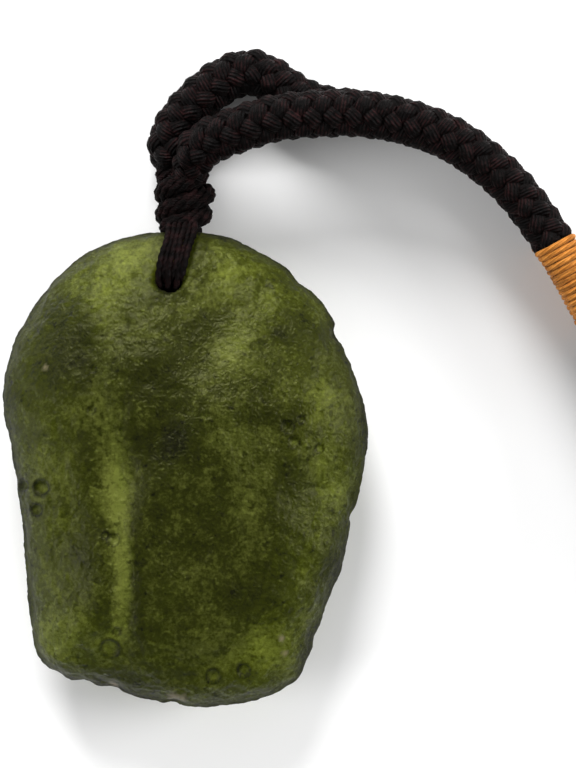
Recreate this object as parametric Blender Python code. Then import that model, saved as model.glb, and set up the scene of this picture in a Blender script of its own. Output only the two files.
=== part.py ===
# A moldavite pendant lying on its back: a drilled stone of green natural glass, the thread loop
# through its hole, the knot above it, and the two braided neck cords with their closure.
# Metres, +Z up. The origin is under the middle of the stone; +Y runs up the stone to its hole.

from math import cos, pi, radians, sin, sqrt

import bmesh
import bpy
from mathutils import Vector

MM = 0.001

# Driving dimensions, in millimetres
TOP_OF_FACE = 8.8
RIM_HEIGHT = 4.3
RIM_HEIGHT_AT_HOLE = 3.1
BACK_LIFT_AT_HOLE = 1.3
FLAT_SPOT = 0.34
HOLE_CENTRE = (-1.04, 13.5)
HOLE_RADIUS = 1.1
CORD_RADIUS = 1.6
NECK_RADIUS = 0.95
NECK_LENGTH = 3.0
WHIPPED_RADIUS = 0.9
WHIPPING_INNER = 1.2
WHIPPING_OUTER = 1.5
LEFT_WHIPPING_START = 36.2
RIGHT_WHIPPING_START = 30.7
WHIPPING_LENGTH = 7.5
KNOT_HEIGHT = 2.05
COIL_CENTRE = (52.5, 0.0)
OUTER_TURN = 19.5
INNER_TURN = 16.1
COIL_LAYERS = (1.75, 5.1)
TIE_ANGLE = 300.0
BUTTON_RADIUS = 3.0
GAP = 0.3

# The stone's outline, anticlockwise from its widest point on the right
OUTLINE = [
    (12.89, 2.79), (12.54, 4.93), (11.96, 6.79), (11.25, 8.5), (10.75, 9.9), (9.89, 11.71),
    (8.96, 12.79), (7.32, 14.21), (4.75, 15.86), (1.61, 16.93), (-2.68, 16.93), (-5.61, 16.21),
    (-8.46, 14.5), (-10.75, 11.93), (-12.11, 9.36), (-12.68, 7.43), (-12.96, 5.07),
    (-12.61, 2.79), (-11.96, -0.79), (-11.32, -6.5), (-11.11, -10.07), (-10.54, -13.36),
    (-9.25, -14.64), (-5.61, -15.5), (-2.54, -16.36), (1.39, -16.93), (5.39, -16.36),
    (7.04, -15.5), (8.25, -14.64), (8.82, -12.93), (9.82, -10.36), (11.04, -6.93),
    (11.82, -3.5), (12.61, -0.07),
]

# Centre lines of the two cords from the knot to the coil, as x, y and height
LEFT_ROUTE = [
    (-0.94, 21.9, 1.5), (-1.22, 22.65, 1.6), (-1.29, 23.44, 1.7), (-1.07, 24.31, 1.75),
    (-0.56, 25.18, 1.75), (0.17, 26.13, 1.75), (1.12, 27.08, 1.75), (2.21, 27.95, 1.75),
    (3.45, 28.6, 1.75), (4.7, 28.8, 1.75), (5.9, 28.35, 1.75), (7.1, 27.5, 1.75),
    (8.4, 26.7, 1.75), (10.3, 26.1, 1.75), (12.5, 25.85, 1.75), (16.0, 25.15, 1.75),
    (19.5, 23.75, 1.75), (23.0, 21.1, 1.75), (25.6, 17.95, 1.75), (27.8, 14.35, 1.75),
    (30.0, 10.3, 1.75), (31.7, 6.6, 1.75), (32.65, 3.3, 1.75), (33.0, 0.0, 1.75),
]
RIGHT_ROUTE = [
    (0.3, 21.9, 3.4), (0.55, 22.45, 3.6), (1.08, 23.05, 3.9), (1.95, 23.56, 4.3),
    (2.9, 23.9, 4.7), (3.9, 24.21, 5.0), (5.05, 24.57, 5.25), (6.5, 24.95, 5.35),
    (8.2, 25.16, 5.35), (10.3, 25.25, 5.35), (12.4, 25.25, 5.35), (15.8, 24.65, 5.35),
    (19.2, 23.3, 5.35), (22.6, 20.7, 5.35), (25.1, 17.7, 5.35), (27.3, 14.2, 5.35),
    (29.7, 10.2, 5.3), (31.6, 6.6, 5.2), (32.65, 3.3, 5.1), (33.0, 0.0, 5.1),
]

# Centre lines of the two ends inside the coil, from its middle
LEFT_END_ROUTE = [
    (-11.3, 5.2, 1.75), (-11.0, 2.6, 1.75), (-9.9, -0.2, 1.75), (-8.0, -2.7, 1.75),
    (-5.6, -4.6, 1.75),
]
RIGHT_END_ROUTE = [
    (6.6, 9.9, 2.4), (4.9, 9.4, 2.0), (3.2, 8.0, 1.8), (2.2, 6.2, 1.9), (1.8, 4.2, 2.4),
    (1.7, 3.5, 2.6),
]
END_LOOP_CENTRE = (-1.4, -7.7)
BUTTON_CENTRE = (1.7, 0.0)


def smooth_step(value):
    value = min(max(value, 0.0), 1.0)
    return value * value * (3 - 2 * value)


def smooth_point(route, position, closed=False):
    """A point of the smooth curve through the route's points; one unit of position is one point."""
    count = len(route)
    index = int(position)
    if not closed:
        index = min(index, count - 2)
    part = position - index
    corners = []
    for step in (-1, 0, 1, 2):
        if closed:
            corners.append(Vector(route[(index + step) % count]))
        else:
            corners.append(Vector(route[min(max(index + step, 0), count - 1)]))
    before, start, end, after = corners
    leaving = (end - before) / 2
    arriving = (after - start) / 2
    bend = 2 * start - 2 * end + leaving + arriving
    sweep = -3 * start + 3 * end - 2 * leaving - arriving
    return ((bend * part + sweep) * part + leaving) * part + start


def even_points(route, spacing, start=0.0, end=None):
    """Points at an even spacing along the smooth curve through the route, from start to end."""
    fine = [smooth_point(route, step / 20) for step in range(20 * (len(route) - 1) + 1)]
    reached = [0.0]
    for first, second in zip(fine, fine[1:]):
        reached.append(reached[-1] + (second - first).length)
    if end is None:
        end = reached[-1]
    pieces = max(round((end - start) / spacing), 1)
    points = []
    place = 0
    for step in range(pieces + 1):
        wanted = start + (end - start) * step / pieces
        while place < len(fine) - 2 and reached[place + 1] < wanted:
            place += 1
        part = (wanted - reached[place]) / (reached[place + 1] - reached[place])
        points.append(fine[place].lerp(fine[place + 1], part))
    return points


def finish_colour(obj, colour, roughness):
    material = bpy.data.materials.new(obj.name)
    material.use_nodes = True
    shader = material.node_tree.nodes["Principled BSDF"]
    shader.inputs["Base Color"].default_value = (*colour, 1.0)
    shader.inputs["Roughness"].default_value = roughness
    shader.inputs["Metallic"].default_value = 0.0
    obj.data.materials.append(material)


def object_from_rings(name, rings, colour, roughness, closed=False):
    """A closed solid skinned over rings of points that are given in millimetres."""
    mesh = bmesh.new()
    rows = []
    for ring in rings:
        rows.append([mesh.verts.new(Vector(point) * MM) for point in ring])
    pairs = list(zip(rows, rows[1:]))
    if closed:
        pairs.append((rows[-1], rows[0]))
    for first, second in pairs:
        for index in range(len(first)):
            following = (index + 1) % len(first)
            mesh.faces.new((first[index], first[following], second[following], second[index]))
    if not closed:
        mesh.faces.new(rows[0])
        mesh.faces.new(rows[-1])
    bmesh.ops.recalc_face_normals(mesh, faces=mesh.faces)
    data = bpy.data.meshes.new(name)
    mesh.to_mesh(data)
    mesh.free()
    data.shade_smooth()
    obj = bpy.data.objects.new(name, data)
    bpy.context.scene.collection.objects.link(obj)
    finish_colour(obj, colour, roughness)
    return obj


def outline_radius(angle):
    """How far the stone's outline is from its middle in this direction."""
    steps = 8 * len(OUTLINE)
    direction = Vector((cos(angle), sin(angle)))
    best = None
    for step in range(steps):
        first = smooth_point(OUTLINE, step / 8, closed=True)
        second = smooth_point(OUTLINE, (step + 1) / 8 % len(OUTLINE), closed=True)
        side_first = direction.x * first.y - direction.y * first.x
        side_second = direction.x * second.y - direction.y * second.x
        if side_first <= 0 < side_second:
            point = first.lerp(second, -side_first / (side_second - side_first))
            if point.dot(direction) > 0:
                best = point.dot(direction)
    return best


def lumps(x, y):
    """The low swells of a stone that was worn by its own etching."""
    wide = sin(0.42 * x + 0.9) * cos(0.31 * y - 0.4)
    narrow = sin(0.83 * x - 0.51 * y + 2.0)
    return 0.22 * wide + 0.12 * narrow


def stone_point(angle, radius, fraction, front):
    x = radius * fraction * cos(angle)
    y = radius * fraction * sin(angle)
    near_hole = smooth_step((y - 4.0) / 11.0)
    rim = RIM_HEIGHT + (RIM_HEIGHT_AT_HOLE - RIM_HEIGHT) * near_hole
    inward = 1.0 - fraction**3.6
    if front:
        top = TOP_OF_FACE - 1.5 * near_hole
        return (x, y, rim + (top - rim + lumps(x, y)) * sqrt(max(inward, 0.0)))
    lift = BACK_LIFT_AT_HOLE * near_hole
    outward = max((fraction - FLAT_SPOT) / (1.0 - FLAT_SPOT), 0.0)
    rise = 1.0 - sqrt(max(1.0 - outward**1.9, 0.0))
    return (x, y, (lift + (rim - lift) * rise) * smooth_step(outward * 3.0))


def build_stone():
    around = 64
    angles = [2 * pi * step / around for step in range(around)]
    radii = [outline_radius(angle) for angle in angles]
    front = [0.06, 0.2, 0.35, 0.5, 0.62, 0.73, 0.82, 0.89, 0.94, 0.975, 0.995, 1.0]
    back = [0.995, 0.975, 0.94, 0.88, 0.8, 0.7, 0.6, 0.5, 0.42, FLAT_SPOT]
    rings = []
    for fraction in front:
        rings.append([stone_point(a, r, fraction, True) for a, r in zip(angles, radii)])
    for fraction in back:
        rings.append([stone_point(a, r, fraction, False) for a, r in zip(angles, radii)])
    stone = object_from_rings("stone", rings, (0.16, 0.2, 0.06), 0.35)
    drill = object_from_rings(
        "drill",
        [
            [
                (
                    HOLE_CENTRE[0] + HOLE_RADIUS * cos(2 * pi * step / 24),
                    HOLE_CENTRE[1] + HOLE_RADIUS * sin(2 * pi * step / 24),
                    height,
                )
                for step in range(24)
            ]
            for height in (-1.0, 12.0)
        ],
        (0.5, 0.5, 0.5),
        0.5,
    )
    drill.hide_render = True
    drill.display_type = "WIRE"
    hole = stone.modifiers.new("hole", "BOOLEAN")
    hole.operation = "DIFFERENCE"
    hole.solver = "EXACT"
    hole.object = drill


def band(name, points, half_widths, half_depths, colour):
    """A flat band of thread that follows the points; its width stays level."""
    rings = []
    level = Vector((1.0, 0.0, 0.0))
    for index, point in enumerate(points):
        before = points[max(index - 1, 0)]
        after = points[min(index + 1, len(points) - 1)]
        along = (after - before).normalized()
        across = (level - along * level.dot(along)).normalized()
        out = along.cross(across)
        ring = []
        for step in range(12):
            angle = 2 * pi * step / 12
            offset = across * half_widths[index] * cos(angle) + out * half_depths[index] * sin(angle)
            ring.append(point + offset)
        rings.append(ring)
    return object_from_rings(name, rings, colour, 0.8)


def build_hanging_loop():
    route = [
        (-0.25, 17.02, 4.65), (-0.3, 16.7, 5.15), (-0.45, 16.2, 5.7), (-0.7, 15.4, 6.4),
        (-0.9, 14.5, 6.85), (-1.0, 13.85, 6.65), (-1.04, 13.55, 5.8), (-1.04, 13.5, 4.1),
        (-1.04, 13.55, 2.0), (-1.0, 13.95, 1.1), (-0.85, 14.8, 0.85), (-0.6, 15.8, 1.0),
        (-0.4, 16.6, 1.4), (-0.25, 17.02, 1.65),
    ]
    half_widths = [1.0, 1.05, 1.0, 0.95, 0.85, 0.72, 0.62, 0.6, 0.62, 0.72, 0.9, 1.0, 1.0, 1.0]
    half_depths = [0.22, 0.22, 0.22, 0.22, 0.24, 0.36, 0.55, 0.6, 0.55, 0.36, 0.24, 0.22, 0.22, 0.22]
    points = [Vector(point) for point in route]
    band("hanging_loop", points, half_widths, half_depths, (0.02, 0.012, 0.01))


def build_knot():
    profile = [
        (17.35, -0.65, 1.6), (17.64, -0.46, 1.85), (18.07, -0.28, 2.0), (18.58, -0.25, 1.98),
        (19.09, -0.25, 1.86), (19.53, -0.21, 2.03), (20.04, -0.17, 2.2), (20.77, -0.36, 2.03),
        (21.3, -0.38, 1.72), (21.5, -0.34, 1.5),
    ]
    rings = []
    for y, middle, half_width in profile:
        ring = []
        for step in range(20):
            angle = 2 * pi * step / 20
            height = KNOT_HEIGHT * half_width / 2.2
            ring.append((middle + half_width * cos(angle), y, KNOT_HEIGHT + 0.05 + height * sin(angle)))
        rings.append(ring)
    object_from_rings("knot", rings, (0.02, 0.012, 0.01), 0.8)


def cord_tube(name, points, radii):
    """A round cord as a filled tube; the radii are those of the tube at each point."""
    curve = bpy.data.curves.new(name, "CURVE")
    curve.dimensions = "3D"
    curve.bevel_depth = CORD_RADIUS * MM
    curve.bevel_resolution = 2
    curve.use_fill_caps = True
    spline = curve.splines.new("POLY")
    spline.points.add(len(points) - 1)
    for place, point, radius in zip(spline.points, points, radii):
        place.co = (*(point * MM), 1.0)
        place.radius = radius / CORD_RADIUS
    spline.use_smooth = True
    obj = bpy.data.objects.new(name, curve)
    bpy.context.scene.collection.objects.link(obj)
    finish_colour(obj, (0.02, 0.012, 0.01), 0.8)
    return obj


def build_neck_cord(side, route, whipping_start):
    """One cord from the knot to just short of the coil, and the thread wound round it."""
    clear = OUTER_TURN + 2 * CORD_RADIUS + 2 * GAP
    middle = Vector((*COIL_CENTRE, 0.0))
    spacing = 1.5
    points = even_points(route, spacing)
    kept = [p for p in points if (Vector((p.x, p.y, 0.0)) - middle).length > clear]
    whipping_end = whipping_start + WHIPPING_LENGTH
    radii = []
    for index in range(len(kept)):
        reached = index * spacing
        radius = NECK_RADIUS + (CORD_RADIUS - NECK_RADIUS) * smooth_step(reached / NECK_LENGTH)
        if whipping_start - spacing < reached < whipping_end + spacing:
            radius = WHIPPED_RADIUS
        radii.append(radius)
    cord_tube("cord_" + side, kept, radii)
    build_whipping("whipping_" + side, route, whipping_start, whipping_end)


def build_whipping(name, route, start, end):
    """A sleeve of thread turns with the cord running through it."""
    points = even_points(route, 1.5, start, end)
    outer = []
    inner = []
    for index, point in enumerate(points):
        before = points[max(index - 1, 0)]
        after = points[min(index + 1, len(points) - 1)]
        along = (after - before).normalized()
        across = along.cross(Vector((0.0, 0.0, 1.0))).normalized()
        out = across.cross(along)
        directions = []
        for step in range(12):
            angle = 2 * pi * step / 12
            directions.append(across * cos(angle) + out * sin(angle))
        outer.append([point + direction * WHIPPING_OUTER for direction in directions])
        inner.append([point + direction * WHIPPING_INNER for direction in directions])
    object_from_rings(name, outer + inner[::-1], (0.42, 0.2, 0.06), 0.7, closed=True)


def coil_section(angle):
    """The coil's section at this angle, pulled in where the tie goes round it."""
    off = abs((angle - TIE_ANGLE + 180.0) % 360.0 - 180.0)
    pinch = 0.95 * (1.0 - smooth_step((off - 4.5) / 5.0))
    low_radius = INNER_TURN - CORD_RADIUS - 0.1 + pinch
    high_radius = OUTER_TURN + CORD_RADIUS + 0.1 - pinch
    bottom = 0.1 + pinch
    top = COIL_LAYERS[1] + CORD_RADIUS + 0.1 - pinch
    return low_radius, high_radius, bottom, top


def rounded_box(low_radius, high_radius, bottom, top, corner, steps=3):
    """Points round a section with rounded corners, as radius and height."""
    centres = [
        (high_radius - corner, top - corner, 0.0),
        (low_radius + corner, top - corner, 90.0),
        (low_radius + corner, bottom + corner, 180.0),
        (high_radius - corner, bottom + corner, 270.0),
    ]
    points = []
    for radius, height, start in centres:
        for step in range(steps + 1):
            angle = radians(start + 90.0 * step / steps)
            points.append((radius + corner * cos(angle), height + corner * sin(angle)))
    return points


def placed_section(section, angle):
    turn = radians(angle)
    return [
        (COIL_CENTRE[0] + radius * cos(turn), COIL_CENTRE[1] + radius * sin(turn), height)
        for radius, height in section
    ]


def build_coil():
    rings = []
    for step in range(72):
        angle = step * 5.0
        rings.append(placed_section(rounded_box(*coil_section(angle), 1.3), angle))
    object_from_rings("cord_coil", rings, (0.02, 0.012, 0.01), 0.8, closed=True)


def build_tie():
    """The thread turns that hold the coil, as one band round its section."""
    low_radius, high_radius, bottom, top = coil_section(TIE_ANGLE)
    inner = rounded_box(low_radius - GAP, high_radius + GAP, bottom - GAP, top + GAP, 1.5)
    wall = GAP + 0.5
    outer = rounded_box(low_radius - wall, high_radius + wall, bottom - wall, top + wall, 1.9)
    half_angle = 3.0
    mesh_rings = []
    for side in (-half_angle, half_angle):
        mesh_rings.append(placed_section(outer, TIE_ANGLE + side))
    for side in (half_angle, -half_angle):
        mesh_rings.append(placed_section(inner, TIE_ANGLE + side))
    object_from_rings("coil_tie", mesh_rings, (0.42, 0.2, 0.06), 0.7, closed=True)


def from_coil_middle(route):
    return [(COIL_CENTRE[0] + x, COIL_CENTRE[1] + y, height) for x, y, height in route]


def build_cord_ends():
    for side, route in (("left", LEFT_END_ROUTE), ("right", RIGHT_END_ROUTE)):
        points = even_points(from_coil_middle(route), 2.0)
        cord_tube("cord_end_" + side, points, [CORD_RADIUS] * len(points))


def build_button_knot():
    mesh = bmesh.new()
    bmesh.ops.create_uvsphere(mesh, u_segments=20, v_segments=12, radius=BUTTON_RADIUS * MM)
    data = bpy.data.meshes.new("button_knot")
    mesh.to_mesh(data)
    mesh.free()
    data.shade_smooth()
    obj = bpy.data.objects.new("button_knot", data)
    x = COIL_CENTRE[0] + BUTTON_CENTRE[0]
    y = COIL_CENTRE[1] + BUTTON_CENTRE[1]
    obj.location = Vector((x, y, BUTTON_RADIUS + 0.1)) * MM
    bpy.context.scene.collection.objects.link(obj)
    finish_colour(obj, (0.02, 0.012, 0.01), 0.8)


def build_end_loop():
    """The eye of doubled thread that the button knot goes through."""
    thread = 0.7
    rings = []
    for step in range(28):
        angle = 2 * pi * step / 28
        x = COIL_CENTRE[0] + END_LOOP_CENTRE[0] + 4.0 * cos(angle)
        y = COIL_CENTRE[1] + END_LOOP_CENTRE[1] + 3.3 * sin(angle)
        outward = Vector((cos(angle), sin(angle), 0.0))
        ring = []
        for side in range(8):
            turn = 2 * pi * side / 8
            centre = Vector((x, y, thread + 0.15))
            ring.append(centre + outward * thread * cos(turn) + Vector((0, 0, thread * sin(turn))))
        rings.append(ring)
    object_from_rings("end_loop", rings, (0.02, 0.012, 0.01), 0.8, closed=True)


for leftover in list(bpy.data.objects):
    bpy.data.objects.remove(leftover)

build_stone()
build_hanging_loop()
build_knot()
build_neck_cord("left", LEFT_ROUTE, LEFT_WHIPPING_START)
build_neck_cord("right", RIGHT_ROUTE, RIGHT_WHIPPING_START)
build_coil()
build_tie()
build_cord_ends()
build_button_knot()
build_end_loop()
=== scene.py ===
from math import cos, pi, radians, sin, sqrt

import bmesh
import bpy
from mathutils import Matrix, Vector, noise


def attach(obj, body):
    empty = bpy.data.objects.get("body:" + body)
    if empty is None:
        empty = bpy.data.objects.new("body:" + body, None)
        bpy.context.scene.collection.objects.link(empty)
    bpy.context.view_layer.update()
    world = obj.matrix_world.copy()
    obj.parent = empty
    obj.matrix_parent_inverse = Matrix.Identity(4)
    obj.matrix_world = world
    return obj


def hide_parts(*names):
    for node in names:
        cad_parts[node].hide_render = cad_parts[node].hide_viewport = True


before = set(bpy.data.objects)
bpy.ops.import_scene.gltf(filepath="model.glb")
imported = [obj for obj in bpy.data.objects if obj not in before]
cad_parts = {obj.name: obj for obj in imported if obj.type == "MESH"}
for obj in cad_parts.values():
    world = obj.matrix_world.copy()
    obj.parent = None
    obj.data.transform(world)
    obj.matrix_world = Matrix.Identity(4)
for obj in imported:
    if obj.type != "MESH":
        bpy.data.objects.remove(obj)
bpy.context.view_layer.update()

MM = 0.001

# The stone: one piece of natural green glass, etched by the ground it lay in and drilled near its
# top. It starts from the solid's own shape, and its pits, furrows and burst bubbles are cut into
# the mesh. The glass is clear and satin-skinned. Its colour comes from its depth and from its tone,
# which holds painted shade at the rim, a painted shadow beside the furrow and the painted light
# and shade of its etched skin.
STONE_CELL = 0.17
STONE_SOFTENING = 14
FACE_TILT = 0.25
RIM_TILT = 0.8


def fresh_copy(node):
    """A mesh of its own from a solid of the frame, with its loose triangles joined."""
    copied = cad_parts[node].data.copy()
    shape = bmesh.new()
    shape.from_mesh(copied)
    bmesh.ops.remove_doubles(shape, verts=shape.verts, dist=0.001 * MM)
    shape.to_mesh(copied)
    shape.free()
    copied.materials.clear()
    piece = bpy.data.objects.new(node + "_look", copied)
    bpy.context.scene.collection.objects.link(piece)
    return piece


def apply_modifiers(piece):
    """Leaves the piece as a plain mesh of what its modifiers made."""
    bpy.context.view_layer.update()
    graph = bpy.context.evaluated_depsgraph_get()
    made = bpy.data.meshes.new_from_object(piece.evaluated_get(graph))
    piece.modifiers.clear()
    piece.data = made
    return piece


def fall_off(distance, reach):
    """1 at the middle of a mark, and 0 at its reach."""
    part = min(max(1.0 - distance / reach, 0.0), 1.0)
    return part * part * (3 - 2 * part)


# The long pale furrow down the left of the face, as y, x, half width and how marked it is
FURROW = [
    (14.5, -5.0, 1.2, 0.0), (11.5, -5.4, 1.3, 0.25), (6.7, -5.6, 1.3, 0.35), (3.1, -5.2, 1.4, 0.5),
    (-0.4, -4.6, 1.4, 1.1), (-4.0, -4.4, 0.85, 1.0), (-7.6, -4.0, 0.75, 1.4), (-10.4, -4.35, 0.9, 0.85),
    (-12.4, -5.1, 1.5, 0.8), (-14.2, -5.4, 1.4, 0.0),
]


def furrow_at(y):
    """Where the furrow's middle is at this y, its half width there and how marked it is."""
    for (high, *above), (low, *below) in zip(FURROW, FURROW[1:]):
        if low <= y <= high:
            part = (high - y) / (high - low)
            return [first + (second - first) * part for first, second in zip(above, below)]
    return FURROW[0][1:]


# Shallow scoops where the glass is thinner, as x, y, reach and depth
SCOOPS = [
    (3.4, 8.8, 5.5, 0.3), (10.0, -1.0, 4.2, 0.25), (5.4, -12.4, 4.0, 0.3),
    (-8.4, -8.5, 4.0, 0.15), (2.5, -5.5, 4.5, 0.25), (-0.9, 2.0, 2.6, 0.25),
]
# Burst bubbles on the face, as x, y, radius and depth in millimetres
BUBBLE_PITS = [
    (-11.2, -1.05, 0.4, 0.3), (-9.85, -1.15, 0.52, 0.34), (-10.2, -2.7, 0.4, 0.26),
    (-4.75, -4.7, 0.4, 0.28), (7.3, 3.1, 0.42, 0.3), (7.7, 2.05, 0.36, 0.28), (8.2, 3.6, 0.26, 0.2),
    (-5.1, -12.4, 0.62, 0.32), (2.1, -14.3, 0.46, 0.3), (4.25, -14.0, 0.42, 0.3),
    (9.5, 1.6, 0.28, 0.2), (-6.2, 7.1, 0.24, 0.2), (-6.3, 4.2, 0.26, 0.2), (-5.3, -4.4, 0.22, 0.2),
    (-4.6, -11.2, 0.26, 0.2),
]
# Chips along the edges and at the hole's rim, as x, y, radius and depth
CHIPS = [
    (-5.05, -15.5, 1.0, 0.26), (-0.75, -16.5, 1.0, 0.26), (-0.2, 12.2, 0.6, 0.35),
    (10.95, 9.7, 0.9, 0.36), (-9.2, -14.7, 1.4, 0.24), (-7.2, -15.2, 1.1, 0.2),
    (11.9, -3.4, 1.2, 0.2), (9.3, -12.0, 1.1, 0.18), (8.2, 13.6, 1.2, 0.16),
]


def face_relief(x, y):
    """How far the front face is pressed in at this place, in millimetres."""
    # The furrow, and the low ridges on both sides of it
    middle, width, mark = furrow_at(y)
    depth = 0.2 * mark * fall_off(abs(x - middle), 1.7 * width)
    depth -= 0.05 * mark * fall_off(abs(abs(x - middle) - 1.8 * width), 1.3)
    for scoop_x, scoop_y, reach, scoop_depth in SCOOPS:
        depth += scoop_depth * fall_off(sqrt((x - scoop_x) ** 2 + (y - scoop_y) ** 2), reach)
    for pit_x, pit_y, radius, pit_depth in BUBBLE_PITS:
        distance = sqrt((x - pit_x) ** 2 + (y - pit_y) ** 2) / radius
        if distance < 1.0:
            depth += pit_depth * sqrt(1.0 - distance * distance)
        elif distance < 1.35:
            depth -= 0.25 * pit_depth * (1.35 - distance)
    return depth


def chipped(place):
    """How deep a chip goes here, in millimetres."""
    depth = 0.0
    for chip_x, chip_y, radius, chip_depth in CHIPS:
        distance = sqrt((place.x - chip_x) ** 2 + (place.y - chip_y) ** 2)
        depth += chip_depth * fall_off(distance + 0.25 * noise.noise(place * 2.5), radius)
    return depth


# Paler and darker places of the glass, as x, y, reach across, reach along and how much paler
CLOUDS = [
    (-8.2, 8.5, 4.4, 4.8, -0.95), (-6.9, 0.6, 1.3, 4.6, -0.4), (-6.9, -5.5, 1.4, 3.4, -0.35),
    (-0.75, 2.1, 3.4, 3.2, -0.55), (-0.9, 2.0, 2.1, 1.9, -0.75), (-1.5, 6.4, 3.6, 3.6, -0.45),
    (7.5, 9.2, 2.8, 2.4, -0.55),
    (7.4, 4.0, 2.2, 1.4, -0.55), (6.9, 9.4, 0.9, 0.8, -0.5), (3.5, 8.9, 2.8, 2.8, 0.7),
    (2.8, 13.2, 2.6, 2.4, 0.5),
    (10.3, -0.8, 3.0, 3.4, 0.35), (9.6, 5.1, 2.2, 2.4, 0.5), (1.0, -6.5, 4.6, 4.4, -0.15),
    (5.3, -8.6, 3.6, 2.8, -0.45), (5.3, -12.6, 3.4, 2.4, 0.5), (-9.2, -7.9, 2.2, 4.0, 0.2),
    (-9.0, -12.0, 2.4, 2.2, 0.35), (-1.5, -14.6, 4.4, 2.2, -0.2), (-5.4, -15.4, 3.4, 1.9, -0.7),
    (-9.4, -14.9, 2.6, 2.0, -0.7), (10.9, -6.5, 1.8, 3.4, -0.5), (9.2, -12.8, 1.8, 3.0, -0.8),
    (-9.3, 12.6, 2.8, 2.6, -0.3), (-12.2, 6.0, 2.2, 5.0, -0.45), (-3.9, 14.9, 2.0, 1.6, 0.35),
    (-1.0, 12.9, 2.0, 2.0, -0.8), (3.2, 2.2, 3.2, 2.2, 0.35), (-8.8, 1.2, 2.2, 2.6, 0.2),
]


# Bruised spots with a whitish skin, as x, y and radius
BRUISES = [
    (-5.05, -15.2, 0.42), (-0.75, -15.85, 0.5), (6.9, -11.7, 0.26), (7.1, -12.8, 0.24),
    (-0.1, -15.9, 0.35), (-9.6, 7.2, 0.22),
]


def bruised(place):
    """How whitish a bruise makes the skin here, from 0 to 1."""
    most = 0.0
    for x, y, radius in BRUISES:
        reach = sqrt((place.x - x) ** 2 + (place.y - y) ** 2) / radius
        most = max(most, fall_off(reach + 0.5 * noise.noise(place * 3.5), 1.2))
    return most


def paleness_with_painted_shade(still, facing):
    """How pale the glass is at this place of the stone, from 0 to 1, with painted shade: its rim is
    painted darker, and so is a stripe beside the furrow.
    """
    # Painted shade: the steep rim is darker than the face.
    amount = -1.4 * fall_off(facing, 0.75)
    drift = [noise.noise(still * 0.55 + Vector((9.0 * way, 0.0, 2.0))) for way in range(3)]
    middle, width, mark = furrow_at(still.y + 0.8 * drift[1])
    across = still.x - middle + 0.3 * drift[0]
    amount += 1.1 * mark * fall_off(abs(across), 1.2 * width)
    # Painted shadow: a darker stripe along the furrow's right side, where its step falls in shade.
    amount -= 0.3 * mark * fall_off(abs(across - 1.4 * width), 0.7)
    place = still + 0.6 * Vector(drift)
    for x, y, across, along, strength in CLOUDS:
        reach = sqrt(((place.x - x) / across) ** 2 + ((place.y - y) / along) ** 2)
        amount += strength * fall_off(reach, 1.0)
    for x, y, radius, _ in BUBBLE_PITS:
        reach = sqrt((still.x - x) ** 2 + (still.y - y) ** 2) / radius
        amount += 0.5 * fall_off(reach, 0.8) - 1.3 * fall_off(abs(reach - 1.05), 0.4)
    amount += 0.45 * noise.noise(place * 0.34 + Vector((4.0, 1.0, 8.0)))
    amount += 0.35 * noise.noise(place * 0.9 + Vector((2.0, 6.0, 3.0)))
    return min(max(0.6 + 0.5 * amount, 0.0), 1.2)


def etched(place):
    """How strongly the skin is etched here; most around and below the hole's right side."""
    amount = 0.7 + 0.75 * fall_off(sqrt((place.x - 4.0) ** 2 + (place.y - 6.0) ** 2), 9.5)
    return amount + 0.3 * noise.noise(place * 0.3 + Vector((6.0, 3.0, 1.0)))


def skin_relief(place):
    """The orange-peel etching that covers the whole stone."""
    swell = noise.noise(place * 0.42 + Vector((3.1, 0.7, 5.2)))
    lump = noise.noise(place * 1.15 + Vector((7.0, 2.0, 1.0)))
    peel = noise.noise(place * 2.6)
    crease = abs(noise.noise(place * 1.7 + Vector((1.0, 9.0, 4.0))))
    return 0.16 * swell + 0.07 * lump + 0.035 * peel + 0.05 * max(0.22 - crease, 0.0) / 0.22 - 0.12


def etched_stone():
    """The stone's mesh, with what its glass needs to know stored at each corner."""
    stone = fresh_copy("stone")
    cells = stone.modifiers.new("cells", "REMESH")
    cells.mode = "VOXEL"
    cells.voxel_size = STONE_CELL * MM
    cells.use_smooth_shade = True
    soft = stone.modifiers.new("soft", "SMOOTH")
    soft.factor = 0.5
    soft.iterations = STONE_SOFTENING
    apply_modifiers(stone)
    shape = stone.data
    shape.calc_loop_triangles()
    pale_with_shade, rim, bruise, etching = (
        shape.attributes.new(name, "FLOAT", "POINT")
        for name in ("paleness_with_painted_shade", "rim", "bruise", "etching")
    )
    moved = []
    for corner in shape.vertices:
        place = corner.co / MM
        facing = abs(corner.normal.z)
        edge = fall_off(facing, RIM_TILT)
        pale_with_shade.data[corner.index].value = paleness_with_painted_shade(place, facing)
        rim.data[corner.index].value = edge
        bruise.data[corner.index].value = bruised(place)
        etching.data[corner.index].value = etched(place) * (1.0 - 0.8 * edge)
        normal = corner.normal
        depth = skin_relief(place) + chipped(place)
        if normal.z > FACE_TILT:
            depth += face_relief(place.x, place.y) * min((normal.z - FACE_TILT) * 4.0, 1.0)
        moved.append(corner.co - normal * depth * MM)
    for corner, place in zip(shape.vertices, moved):
        corner.co = (place.x, place.y, max(place.z, 0.0))
    shape.shade_smooth()
    return stone


def fill_inputs(tree, node, inputs):
    """Fills a node's inputs, from other nodes' sockets or with values."""
    for key, value in inputs.items():
        if isinstance(value, bpy.types.NodeSocket):
            tree.links.new(value, node.inputs[key])
        else:
            node.inputs[key].default_value = value


def node_maker(tree):
    """A function that adds a node to the tree, with its inputs and its settings."""

    def add(kind, inputs=None, **settings):
        node = tree.nodes.new(kind)
        for label, value in settings.items():
            setattr(node, label, value)
        fill_inputs(tree, node, inputs or {})
        return node

    return add


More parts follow.
